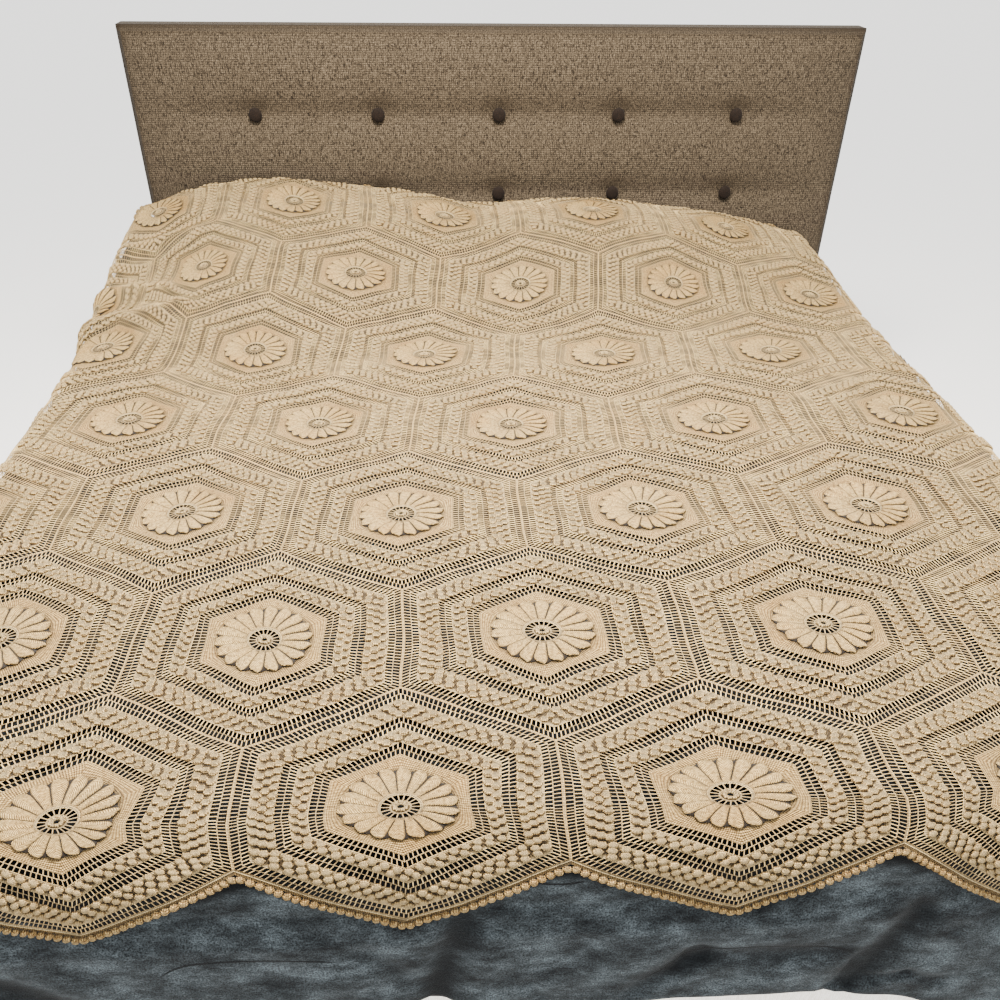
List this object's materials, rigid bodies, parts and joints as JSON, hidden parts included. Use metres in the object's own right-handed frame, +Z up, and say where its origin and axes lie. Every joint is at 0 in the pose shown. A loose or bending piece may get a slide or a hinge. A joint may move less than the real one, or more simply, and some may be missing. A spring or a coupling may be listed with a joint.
{
  "type": "crochet afghan on a bed",
  "caption": "Crochet afghan of joined hexagon motifs with raised pinwheel flowers, spread over a blanket and pillows on a bed with a button-tufted headboard.",
  "frame": {"origin": "on the floor, under the middle of the whole outline seen from above", "axes": "+Z up, +X across the bed to the right as seen from its foot, +Y along the bed from its foot to its headboard"},
  "size_m": [1.7182, 2.043, 1.066],
  "materials": {
    "cotton": "matte",
    "fleece": "plush",
    "ticking": "matte",
    "tweed": "matte",
    "button_cloth": "matte",
    "wood": "satin"
  },
  "bodies": {
    "root": {"afghan": "cotton", "blanket": "fleece", "mattress": "ticking", "foundation": "ticking", "pillow_left": "ticking", "pillow_right": "ticking", "headboard": "tweed", "button_1_1": "button_cloth", "button_1_2": "button_cloth", "button_1_3": "button_cloth", "button_1_4": "button_cloth", "button_1_5": "button_cloth", "button_2_1": "button_cloth", "button_2_2": "button_cloth", "button_2_3": "button_cloth", "button_2_4": "button_cloth", "button_2_5": "button_cloth", "leg_left_1": "wood", "leg_left_2": "wood", "leg_left_3": "wood", "leg_right_1": "wood", "leg_right_2": "wood", "leg_right_3": "wood", "strut_left": "wood", "strut_right": "wood"}
  },
  "joints": []
}
